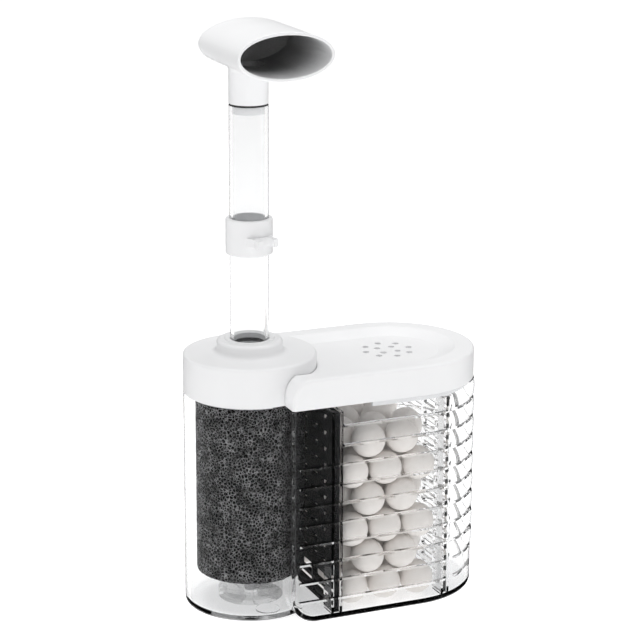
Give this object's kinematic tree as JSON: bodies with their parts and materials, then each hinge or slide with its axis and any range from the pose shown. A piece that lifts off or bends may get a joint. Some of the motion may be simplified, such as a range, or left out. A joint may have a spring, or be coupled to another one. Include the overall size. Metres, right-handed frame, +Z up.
{
  "type": "canister filter",
  "caption": "Air-driven aquarium box filter: clear round and box chambers with a sponge, ceramic balls, white lids, a lift tube and a swivelling duckbill outlet.",
  "frame": {"origin": "on the lift tube's axis, in the plane of the flat underside", "axes": "+Z up along the lift tube; +X along the box, away from the sponge; -Y is the front, where the outlet points"},
  "size_m": [0.126, 0.0739, 0.2442],
  "materials": {
    "clear_plastic": "clear moulded polystyrene, glossy",
    "white_plastic": "white moulded ABS, satin gloss",
    "black_sponge": "open-cell reticulated foam",
    "black_plastic": "black moulded plastic, satin",
    "grey_plastic": "grey moulded plastic",
    "white_ceramic": "porous off-white ceramic, rough",
    "black_rubber": "soft black rubber"
  },
  "bodies": {
    "housing": {"clear_housing": "clear_plastic", "sponge_seat": "clear_plastic", "mesh_divider": "black_plastic", "clear_divider": "clear_plastic", "ceramic_balls_1": "white_ceramic", "ceramic_balls_2": "white_ceramic", "ceramic_balls_3": "white_ceramic", "ceramic_balls_4": "white_ceramic", "ceramic_balls_5": "white_ceramic"},
    "lid": {"box_lid": "white_plastic"},
    "cartridge": {"round_cap": "white_plastic", "tube_seal": "black_rubber", "socket_ring": "white_plastic", "lower_tube": "clear_plastic", "sponge_cylinder": "black_sponge", "sponge_core": "black_plastic", "core_end_cap": "clear_plastic", "centre_peg": "grey_plastic", "air_pipe": "grey_plastic", "air_diffuser": "grey_plastic", "air_inlet_barb": "grey_plastic"},
    "collar": {"clip_collar": "white_plastic"},
    "upper_tube": {"upper_tube": "clear_plastic"},
    "outlet": {"outlet_duckbill": "white_plastic", "outlet_seal": "black_rubber"}
  },
  "joints": [
    {"name": "cartridge_lift", "type": "slide", "parent": "housing", "child": "cartridge", "axis": [0, 0, 1], "range_m": [0, 0.1]},
    {"name": "lid_lift", "type": "slide", "parent": "housing", "child": "lid", "axis": [0, 0, 1], "range_m": [0, 0.05]},
    {"name": "collar_turn", "type": "hinge", "parent": "cartridge", "child": "collar", "pos_m": [0, 0, 0.157], "axis": [0, 0, 1], "continuous": true},
    {"name": "upper_tube_lift", "type": "slide", "parent": "collar", "child": "upper_tube", "axis": [0, 0, 1], "range_m": [0, 0.03]},
    {"name": "outlet_swivel", "type": "hinge", "parent": "upper_tube", "child": "outlet", "pos_m": [0, 0, 0.2109], "axis": [0, 0, 1], "continuous": true}
  ]
}
